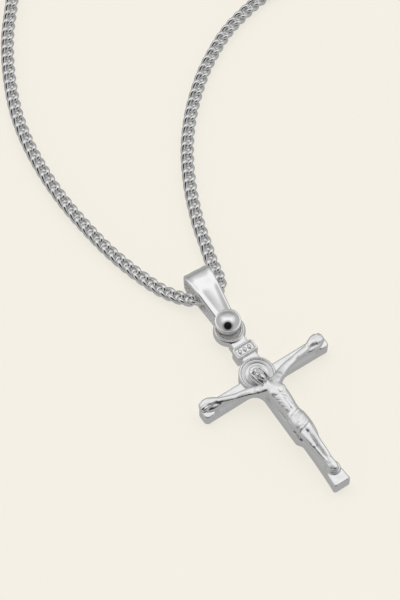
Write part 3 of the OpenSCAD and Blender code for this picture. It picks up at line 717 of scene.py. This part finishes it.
def shape_plate(clay, cut, x, y, z):
    """The plate above the head, with a raised border and three lozenges."""
    flat = outline_distance(plate_outline(), x[:, 0, 0], y[0, :, 0])
    inner = smoothstep((-flat - 0.30) / 0.14)
    lozenge = np.zeros_like(flat)
    for middle in (-LOZENGE_GAP, 0, LOZENGE_GAP):
        across = np.abs(x[:, :, 0] - middle) / LOZENGE_SHARE
        inset = LOZENGE_HALF_L - across - np.abs(y[:, :, 0] - PLATE_Y)
        lozenge = np.maximum(lozenge, smoothstep(inset / 0.26))
    top = PLATE_T + 0.02 - 0.2 * inner + 0.19 * lozenge
    plate = slab(flat[..., None], z, 0, PLATE_T + 0.1, 0.26)
    plate = soft_max(plate, z - top[..., None], 0.08)
    clay.join(cut, plate.astype(np.float32), 0.1)


def shape_halo(clay, cut, x, y, z):
    """The halo, slightly dished, with its rim and inner rings."""
    r = np.hypot(x[:, :, 0] + HALO_SHIFT, y[:, :, 0] - HALO_Y)
    rim = 0.2 * smoothstep((r - 2.6) / 0.16) * hump(r, 2.82, 0.36)
    top = (2.68 + 0.15 * np.clip(r - 1.3, 0, 1.2) + rim
           - 0.03 * hump(r, 2.56, 0.08) - 0.03 * hump(r, 1.94, 0.1))
    halo = slab((r - HALO_R)[..., None], z, 0, HALO_T, 0.24)
    halo = soft_max(halo, (z - top[..., None]) * 0.8, 0.05)
    clay.join(cut, halo.astype(np.float32), 0.08)


def shape_eye(clay, cut, x, y, z):
    """The eye, a rounded disc with two faint steps round its hole, which lies above its middle."""
    r = np.hypot(x, y - EYE_Y)
    past_face = np.abs(z - EYE_MID) - EYE_T / 2
    sunk = 0.10 * smoothstep((2.35 - r) / 0.12) + 0.08 * smoothstep((1.95 - r) / 0.12)
    disc = rounded(r - EYE_R, past_face, EYE_EDGE_R)
    disc = soft_max(disc, z - EYE_MID - EYE_T / 2 + sunk, 0.05)
    clay.join(cut, disc.astype(np.float32), 0.18)
    flare = 0.25 * smoothstep((past_face + 0.3) / 0.3)
    hole = EYE_HOLE_R + flare - np.hypot(x, y - EYE_Y - EYE_HOLE_UP)
    clay.field[cut] = soft_max(clay.field[cut], hole.astype(np.float32), 0.06)


def shape_cross(clay):
    whole = clay.part(clay.low, [a[-1] for a in clay.axes])
    for shape in (shape_bars, shape_plate, shape_halo, shape_eye):
        shape(clay, *whole)


# Figure
HEAD_PLACE = np.array([-1.12, 0.22, 3.95])
PAD_X, PAD_Y, PAD_R, PAD_LOW, PAD_PROUD = 0.22, -19.75, 1.18, 1.9, 0.4


def turn_about(axis, degrees):
    c, s = math.cos(math.radians(degrees)), math.sin(math.radians(degrees))
    if axis == "z":
        return np.array([[c, -s, 0], [s, c, 0], [0, 0, 1]])
    return np.array([[1, 0, 0], [0, c, -s], [0, s, c]])


HEAD_TURN = turn_about("z", 15) @ turn_about("x", -2)


def in_head(rows):
    """Rows given in the head's own frame: X across the face, Y to the crown, Z out of the face."""
    out = np.array(rows, float)
    out[:, :3] = HEAD_PLACE + out[:, :3] @ HEAD_TURN.T
    return out


def head_oval(clay, centre, radii, soft, carve=False):
    """An egg-shaped form given in the head's own frame."""
    clay.oval(in_head([centre])[0], radii, soft, HEAD_TURN, carve)


def shape_body(clay):
    # Ribcage, waist and hips
    clay.swept([[-0.1, -2.0, 3.1, 1.1, 0.8], [-0.1, -2.8, 3.15, 1.46, 0.98], [-0.05, -3.7, 3.2, 1.62, 1.06],
                [0.0, -4.8, 3.2, 1.62, 1.08], [0.0, -6.0, 3.18, 1.54, 1.02], [0.0, -7.2, 3.12, 1.42, 0.94],
                [0.02, -8.2, 3.1, 1.4, 0.92], [0.02, -9.4, 3.1, 1.5, 0.98], [0.02, -10.8, 3.12, 1.5, 1.0],
                [0, -11.6, 3.1, 1.3, 0.9]], 0.2, power=2.9)
    # Chest muscles and belly
    for side in (-1, 1):
        clay.oval([side * 0.66, -3.7, 3.92], [0.86, 0.78, 0.3], 0.36, turn_about("z", side * -12))
        clay.oval([side * 0.36, -7.0, 3.86], [0.5, 1.1, 0.2], 0.35)
    # Shoulders and neck
    clay.swept([[-2.5, -1.95, 3.1, 0.72, 0.62], [-1.6, -2.3, 3.3, 0.82, 0.74], [-0.3, -2.7, 3.35, 0.8, 0.8],
                [0.9, -2.25, 3.3, 0.82, 0.76], [1.7, -1.65, 3.15, 0.74, 0.66]], 0.35, power=2.5)
    clay.swept([[-0.25, -3.1, 3.65, 0.75, 0.5], [-0.42, -2.3, 3.7, 0.6, 0.5], [-0.68, -1.3, 3.7, 0.56, 0.55],
                [-0.85, -0.5, 3.7, 0.6, 0.6]], 0.35)


def shape_arms(clay):
    left = [[-1.5, -2.15, 3.2, 0.85, 0.75], [-2.6, -1.8, 2.98, 0.86, 0.7], [-3.7, -1.3, 2.8, 0.76, 0.66],
            [-4.9, -0.92, 2.72, 0.68, 0.62], [-5.9, -0.68, 2.68, 0.6, 0.56], [-6.8, -0.42, 2.7, 0.6, 0.58],
            [-7.8, -0.08, 2.7, 0.58, 0.56], [-8.8, 0.4, 2.68, 0.48, 0.5], [-9.7, 0.85, 2.66, 0.42, 0.44],
            [-10.2, 1.0, 2.66, 0.45, 0.42]]
    right = [[1.2, -1.85, 3.2, 0.85, 0.75], [2.2, -1.4, 2.98, 0.86, 0.7], [3.3, -0.88, 2.8, 0.76, 0.66],
             [4.6, -0.5, 2.72, 0.68, 0.62], [5.8, -0.28, 2.68, 0.6, 0.56], [6.8, -0.1, 2.7, 0.6, 0.58],
             [7.8, 0.08, 2.7, 0.58, 0.56], [8.8, 0.34, 2.68, 0.48, 0.5], [9.6, 0.58, 2.66, 0.42, 0.44],
             [10.1, 0.7, 2.66, 0.45, 0.42]]
    fingers = [(12.05, 1.28, 0.24), (12.2, 0.86, 0.25), (12.2, 0.42, 0.25), (12.05, 0.02, 0.22)]
    for side, rows, lift in ((-1, left, 0.28), (1, right, 0)):
        clay.swept(rows, 0.3, power=4.0)
        # Palm with its heel, four fingers laid together and a thumb
        clay.swept([[side * 8.4, -0.25 + lift, 2.5, 0.62, 0.52], [side * 9.6, -0.15 + lift, 2.5, 0.86, 0.54],
                    [side * 10.6, 0.1 + lift, 2.5, 0.9, 0.52], [side * 11.5, 0.42 + lift, 2.48, 0.7, 0.42]],
                   0.35, power=2.5)
        clay.swept([[side * 9.3, 0.55 + lift, 2.72, 0.5, 0.46], [side * 10.1, 0.66 + lift, 2.76, 0.72, 0.52],
                    [side * 10.8, 0.72 + lift, 2.76, 0.84, 0.5], [side * 11.4, 0.68 + lift, 2.7, 0.8, 0.42]],
                   0.3, power=2.5)
        for k, (end_x, end_y, size) in enumerate(fingers):
            start_y = 1.2 - 0.4 * k
            clay.swept([[side * 10.7, start_y + lift, 2.86, size, 0.26],
                        [side * 11.4, (start_y + end_y) / 2 + lift * 0.8, 2.9, size, 0.26],
                        [side * (end_x - 0.2), end_y + lift * 0.6, 2.78, size * 0.88, 0.22]], 0.2)
        clay.swept([[side * 9.7, 0.95 + lift, 2.74, 0.34, 0.4],
                    [side * 10.4, 1.32 + lift * 0.9, 2.84, 0.32, 0.36],
                    [side * 11.1, 1.5 + lift * 0.6, 2.82, 0.24, 0.28]], 0.2)
    # A soft ridge along each arm, just above its middle
    for rows in (left, right):
        clay.crease(np.array(rows)[1:9, :2] + [0, 0.05], 0.4, -0.03)


def shape_legs(clay):
    left = [[-0.72, -10.4, 3.1, 0.76, 0.8], [-0.68, -11.8, 3.16, 0.74, 0.8], [-0.62, -13.2, 3.16, 0.68, 0.78],
            [-0.56, -14.3, 3.14, 0.6, 0.72], [-0.5, -15.1, 3.1, 0.56, 0.66], [-0.44, -16.1, 3.04, 0.56, 0.62],
            [-0.34, -17.2, 3.0, 0.5, 0.54], [-0.2, -18.3, 2.98, 0.42, 0.48], [-0.1, -18.9, 2.95, 0.4, 0.44]]
    right = [[0.8, -10.4, 3.12, 0.8, 0.8], [0.72, -11.8, 3.18, 0.76, 0.82], [0.62, -13.2, 3.2, 0.7, 0.8],
             [0.56, -14.2, 3.18, 0.64, 0.74], [0.54, -15.1, 3.14, 0.58, 0.68], [0.54, -16.1, 3.1, 0.58, 0.62],
             [0.54, -17.2, 3.06, 0.52, 0.56], [0.48, -18.2, 3.06, 0.46, 0.5], [0.42, -18.9, 3.08, 0.44, 0.46]]
    clay.swept(left[:5], 0.12, power=3.2)
    clay.swept(left[4:], 0.12, power=2.1)
    clay.swept(right, 0.3, power=3.0)
    clay.crease([[0.02, -13.2], [0.04, -15.2], [0.08, -16.8], [0.14, -18.2]], 0.18, 0.06)
    # Rounded pad, and the feet laid one over the other
    cut, x, y, z = clay.part([-2, -22.3, 1.8], [2.4, -17.6, 4])
    pad = slab(np.hypot(x - PAD_X, (y - PAD_Y) * 0.93) - PAD_R, z, PAD_LOW, CROSS_T + PAD_PROUD, 0.26)
    clay.join(cut, pad.astype(np.float32), 0.05)
    clay.swept([[-0.1, -18.4, 2.98, 0.42, 0.48], [-0.14, -19.0, 3.0, 0.52, 0.44],
                [-0.1, -19.6, 3.0, 0.54, 0.44], [-0.04, -20.0, 3.0, 0.46, 0.42]], 0.14, power=2.8)
    clay.swept([[0.46, -18.4, 3.1, 0.46, 0.5], [0.44, -19.0, 3.1, 0.58, 0.5], [0.38, -19.6, 3.1, 0.64, 0.5],
                [0.34, -20.05, 3.1, 0.58, 0.48]], 0.14, power=2.8)


def shape_chest_lines(clay):
    # Middle line, lower edges of the chest muscles, arch of the ribs, a few ribs and the navel
    clay.crease([[0.0, -3.0], [0.0, -4.4], [0.02, -5.8], [0.04, -7.2], [0.05, -8.4]], 0.26, 0.035)
    for side, depth in ((-1, 0.018), (1, 0.036)):
        clay.crease([[side * 0.1, -4.5], [side * 0.6, -4.66], [side * 0.98, -4.4], [side * 1.2, -3.9]],
                    0.24, depth)
        clay.crease([[side * 0.14, -5.0], [side * 0.5, -5.6], [side * 0.74, -6.4], [side * 0.84, -7.4]],
                    0.22, depth)
        for k in range(4):
            y = -5.4 - 0.75 * k
            clay.crease([[side * 0.5, y - 0.26], [side * 0.84, y - 0.08], [side * 1.2, y + 0.14]],
                        0.16, depth / 2)
    clay.crease([[0.04, -7.6], [0.04, -7.9]], 0.18, 0.035)


def shape_cloth(clay):
    # Wrapped cloth over the hips, with a rolled upper edge
    clay.swept([[0.02, -8.95, 3.12, 1.5, 0.98], [0.02, -9.6, 3.15, 1.62, 1.06],
                [0.02, -10.5, 3.18, 1.68, 1.08], [0.06, -11.2, 3.16, 1.6, 1.07],
                [0.08, -12.4, 3.12, 1.5, 1.04]], 0.06, power=2.9, cut_off=[0.305, -0.952, 11.15])
    clay.crease([[1.5, -8.4], [0.8, -8.6], [0.1, -8.85], [-0.6, -9.1], [-1.5, -9.4]], 0.26, -0.035)
    clay.crease([[1.5, -8.1], [0.8, -8.3], [0.1, -8.55], [-0.6, -8.8], [-1.5, -9.1]], 0.14, 0.03)
    # Wide soft folds that sweep from the viewer's right hip to the other thigh
    for fold in ([[1.2, -9.3], [0.7, -9.75], [0.0, -10.15], [-0.75, -10.4]],
                 [[1.3, -9.9], [0.95, -10.5], [0.3, -11.0], [-0.5, -11.3]]):
        clay.crease(fold, 0.32, -0.035)
        clay.crease(np.array(fold) - [0.05, 0.42], 0.2, 0.022)
    # The hem that crosses the thighs
    clay.crease([[1.3, -11.05], [0.5, -11.3], [-0.3, -11.56], [-1.1, -11.8]], 0.2, -0.025)
    # The cloth's hanging end at the viewer's right hip, with its folds
    clay.swept([[1.36, -9.2, 3.2, 0.34, 0.46], [1.48, -10.4, 3.0, 0.36, 0.56], [1.5, -11.6, 2.86, 0.36, 0.52],
                [1.42, -12.8, 2.7, 0.32, 0.44], [1.2, -13.9, 2.55, 0.24, 0.3]], 0.14)
    for k in (-1, 0, 1):
        clay.crease([[1.4 + 0.16 * k, -10.0], [1.5 + 0.18 * k, -11.3], [1.5 + 0.17 * k, -12.4],
                     [1.3 + 0.1 * k, -13.4]], 0.13, 0.05)
    # A rolled edge down the other flank to the shorter end there, which hangs as a loop
    clay.ridge([[-1.5, -6.4], [-1.52, -7.6], [-1.5, -8.8], [-1.5, -10.2]], 0.14, 0.1, 0.1)
    clay.swept([[-1.42, -10.2, 2.62, 0.2, 0.3], [-1.5, -11.0, 2.45, 0.32, 0.3],
                [-1.52, -11.8, 2.4, 0.34, 0.3], [-1.46, -12.5, 2.36, 0.28, 0.28],
                [-1.34, -13.0, 2.32, 0.18, 0.22]], 0.06, power=3.0)
    clay.crease([[-1.46, -10.6], [-1.52, -11.7], [-1.44, -12.6]], 0.16, 0.05)


def shape_head(clay):
    # Skull, face and brow, of plain proportions
    head_oval(clay, [0, 0.45, -0.12], [1.02, 1.22, 0.86], 0.2)
    head_oval(clay, [0, -0.08, 0.26], [0.68, 1.05, 0.68], 0.15)
    head_oval(clay, [0, 0.62, 0.42], [0.6, 0.5, 0.52], 0.2)
    # Cheeks, closed eyes in their sockets, and eyebrows
    for side in (-1, 1):
        head_oval(clay, [side * 0.36, -0.2, 0.62], [0.26, 0.3, 0.24], 0.22)
        head_oval(clay, [side * 0.29, 0.14, 1.0], [0.2, 0.12, 0.13], 0.16, carve=True)
        head_oval(clay, [side * 0.29, 0.11, 0.8], [0.16, 0.1, 0.09], 0.08)
        clay.swept(in_head([[side * 0.1, 0.3, 0.92, 0.06, 0.06], [side * 0.28, 0.35, 0.9, 0.07, 0.06],
                            [side * 0.5, 0.29, 0.76, 0.06, 0.05]]), 0.12)
    # Nose
    clay.swept(in_head([[0, 0.32, 0.88, 0.09, 0.12], [0, 0.0, 0.96, 0.09, 0.12],
                        [0, -0.28, 1.03, 0.12, 0.12]]), 0.12)
    for side in (-1, 1):
        head_oval(clay, [side * 0.11, -0.33, 0.95], [0.08, 0.07, 0.08], 0.08)
    # Short full beard with its moustache, and the lower lip
    head_oval(clay, [0, -0.98, 0.45], [0.54, 0.66, 0.42], 0.24)
    clay.swept(in_head([[0, -0.95, 0.62, 0.42, 0.25], [0, -1.32, 0.5, 0.34, 0.24],
                        [0.02, -1.64, 0.36, 0.18, 0.16]]), 0.18)
    for side in (-1, 1):
        clay.swept(in_head([[side * 0.05, -0.48, 0.92, 0.08, 0.07], [side * 0.24, -0.58, 0.87, 0.09, 0.07],
                            [side * 0.42, -0.84, 0.7, 0.07, 0.06]]), 0.1)
        clay.swept(in_head([[side * 0.6, 0.0, 0.5, 0.1, 0.14], [side * 0.56, -0.5, 0.5, 0.14, 0.14],
                            [side * 0.4, -1.0, 0.52, 0.16, 0.16],
                            [side * 0.16, -1.45, 0.46, 0.12, 0.12]]), 0.14)
    clay.swept(in_head([[-0.15, -0.7, 0.85, 0.05, 0.05], [0, -0.69, 0.88, 0.06, 0.06],
                        [0.15, -0.7, 0.85, 0.05, 0.05]]), 0.07)
    # Long hair down both sides of the head, with two grooves along each
    hair = [[0.1, 1.36, 0.3, 0.34, 0.4], [0.6, 1.08, 0.34, 0.36, 0.44], [0.9, 0.5, 0.2, 0.34, 0.5],
            [0.96, -0.2, 0.06, 0.32, 0.52], [0.98, -0.9, 0.0, 0.3, 0.46], [0.86, -1.7, -0.08, 0.2, 0.32]]
    for side in (1, -1):
        clay.swept(in_head([[side * x, *rest] for x, *rest in hair]), 0.2, power=2.4)
        for shift in (-0.13, 0.1):
            clay.crease(in_head([[side * (x + shift), *rest] for x, *rest in hair]), 0.14, 0.03)
    # Twisted band round the brow
    count, wire_r = 46, 0.08
    for phase in (0, math.pi):
        a = np.linspace(-1.75, 1.75, count)
        band = np.stack([0.92 * np.sin(a), 0.8 - 0.05 * np.cos(a) + 0.06 * np.sin(a * 7 + phase),
                         0.05 + 0.8 * np.cos(a) + 0.05 * np.cos(a * 7 + phase)], -1)
        clay.swept(in_head(np.column_stack([band, np.full((count, 2), wire_r)])), 0.09, 1, reach=0.2)


# The cast piece, made as a cross and a figure that overlap a little at their edges
CROSS_SPACE, CROSS_STEP = ([-12.75, -23.25, -0.25], [12.75, 13.45, 3.45]), 0.1
FIGURE_SPACE, FIGURE_STEP = ([-12.45, -22.6, 1.75], [12.45, 2.9, 5.35]), 0.0585
GROUND_SUNK, GROUND_SOFT = 0.012, 0.16
CROSS_KEPT, FIGURE_KEPT = -0.12, 0.15
MATT_BAND_R, MATT_BAND_HALF, MATT_DARK_BAND, MATT_EYE_R, MATT_DARK_EYE = 2.2, 0.32, 0.62, 2.5, 0.5


def make_matt_and_darker(verts, normals, painted_shade):
    """Makes the halo's band and the eye's face matt, as if brushed, and darkens their colour with the same
    dark tone as the painted shade.
    """
    from_halo = np.hypot(verts[:, 0] + HALO_SHIFT, verts[:, 1] - HALO_Y)
    band = (np.abs(from_halo - MATT_BAND_R) < MATT_BAND_HALF) & (verts[:, 2] > CROSS_T)
    painted_shade[band] = np.maximum(painted_shade[band], MATT_DARK_BAND)
    face = (np.hypot(verts[:, 0], verts[:, 1] - EYE_Y) < MATT_EYE_R) & (normals[:, 2] > 0.7)
    painted_shade[face] = np.maximum(painted_shade[face], MATT_DARK_EYE)


def add_cast_piece(name, verts, faces, normals, painted_shade):
    verts, faces, normals, painted_shade = only_used(verts, faces, normals, painted_shade)
    piece = add_piece(name, verts, faces, CAST, "cast_silver", normals, painted_shade)
    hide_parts("crucifix")


def crucifix():
    body = Clay(*CROSS_SPACE, CROSS_STEP)
    shape_cross(body)
    man = Clay(*FIGURE_SPACE, FIGURE_STEP)
    for shape in (shape_body, shape_arms, shape_legs, shape_chest_lines, shape_cloth, shape_head):
        shape(man)
    alone = man.field.copy()
    # The figure runs out softly into a copy of the cross that lies just under the cross itself
    high = [a[-1] for a in man.axes]
    ground = Clay(man.low, high, man.step)
    shape_cross(ground)
    everywhere = tuple(slice(0, n) for n in man.field.shape)
    man.join(everywhere, ground.field[everywhere] + GROUND_SUNK, GROUND_SOFT)

    # The cross is left out deep inside the figure, and the copy of it away from the figure
    verts, faces, normals, painted_shade = body.skin()
    make_matt_and_darker(verts, normals, painted_shade)
    middle = verts[faces].mean(1)
    inside = ((middle > man.low) & (middle < high)).all(1)
    depth = np.full(len(faces), 9.0)
    depth[inside] = man.at(middle[inside], alone)
    add_cast_piece("cross_body", verts, faces[depth > CROSS_KEPT], normals, painted_shade)
    verts, faces, normals, painted_shade = man.skin()
    near = man.at(verts[faces].mean(1), alone) < FIGURE_KEPT
    add_cast_piece("figure", verts, faces[near], normals, painted_shade)


crucifix()


# Carried-over solids
for node, material in {"end_ring_a": WIRE, "end_ring_b": WIRE, "clasp": POLISHED}.items():
    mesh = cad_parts[node].data
    mesh.materials.clear()
    mesh.materials.append(material)


# Stage and light
STAGE_HALF, FLOOR_Z, CARD_Z = 3, -0.00002, -0.0004


def flat(name, z, material):
    """A wide level sheet under the object."""
    corners = [(x * STAGE_HALF, y * STAGE_HALF, z) for x, y in ((-1, -1), (1, -1), (1, 1), (-1, 1))]
    mesh = bpy.data.meshes.new(name)
    mesh.from_pydata(corners, [], [(0, 1, 2, 3)])
    mesh.materials.append(material)
    obj = bpy.data.objects.new(name, mesh)
    scene.collection.objects.link(obj)
    return obj


def plain(name, colour, glow, diffuse=(0, 0, 0)):
    """A dull material that also glows evenly."""
    mat = bpy.data.materials.new(name)
    mat.use_nodes = True
    put(mat.node_tree.nodes["Principled BSDF"], {
        "Base Color": (*diffuse, 1), "Roughness": 1, "Specular IOR Level": 0,
        "Emission Color": (*colour, 1), "Emission Strength": glow})
    return mat


# The camera sees the floor, and only reflections see the grey card under it
floor = flat("floor", FLOOR_Z, plain("pale_floor", (0.913, 0.879, 0.791), 0.75, (0.48, 0.462, 0.415)))
floor.visible_glossy = False
card = flat("floor_card", CARD_Z, plain("grey_card", (0.40, 0.40, 0.395), 1.0))
card.visible_camera = False
card.visible_diffuse = False
card.visible_shadow = False

world = bpy.data.worlds.new("studio")
scene.world = world
world.use_nodes = True
wn, wl = world.node_tree.nodes, world.node_tree.links
back = wn["Background"]
direction = wn.new("ShaderNodeTexCoord")


def lobe(towards, start, end, inside, outside):
    """Brightness that changes with the angle from one direction, in degrees from start to end."""
    dot = wn.new("ShaderNodeVectorMath")
    dot.operation = "DOT_PRODUCT"
    wl.new(direction.outputs["Generated"], dot.inputs[0])
    dot.inputs[1].default_value = Vector(towards).normalized()
    node = wn.new("ShaderNodeMapRange")
    node.interpolation_type = "SMOOTHSTEP"
    put(node, {"From Min": math.cos(math.radians(end)), "From Max": math.cos(math.radians(start)),
               "To Min": outside, "To Max": inside})
    wl.new(dot.outputs["Value"], node.inputs["Value"])
    return node.outputs["Result"]


def product(a, b):
    node = wn.new("ShaderNodeMath")
    node.operation = "MULTIPLY"
    wl.new(a, node.inputs[0])
    wl.new(b, node.inputs[1])
    return node.outputs[0]


# A soft light from above, dimmed where the room lies far ahead and round the camera
above = lobe((0.2446, 0.3695, 0.8965), 10, 58, 0.97, 0.46)
far_ahead = lobe((0.5, 0.76, 0.42), 12, 42, 0.62, 1.0)
round_camera = lobe(-ahead, 28, 46, 0.5, 1.0)
at_camera = lobe(-ahead, 24, 31, 0.04, 1.0)
brightness = product(product(above, far_ahead), product(round_camera, at_camera))
wl.new(brightness, back.inputs["Strength"])
put(back, {"Color": (1, 1, 1, 1)})

scene.view_settings.view_transform = "Standard"
scene.view_settings.look = "None"
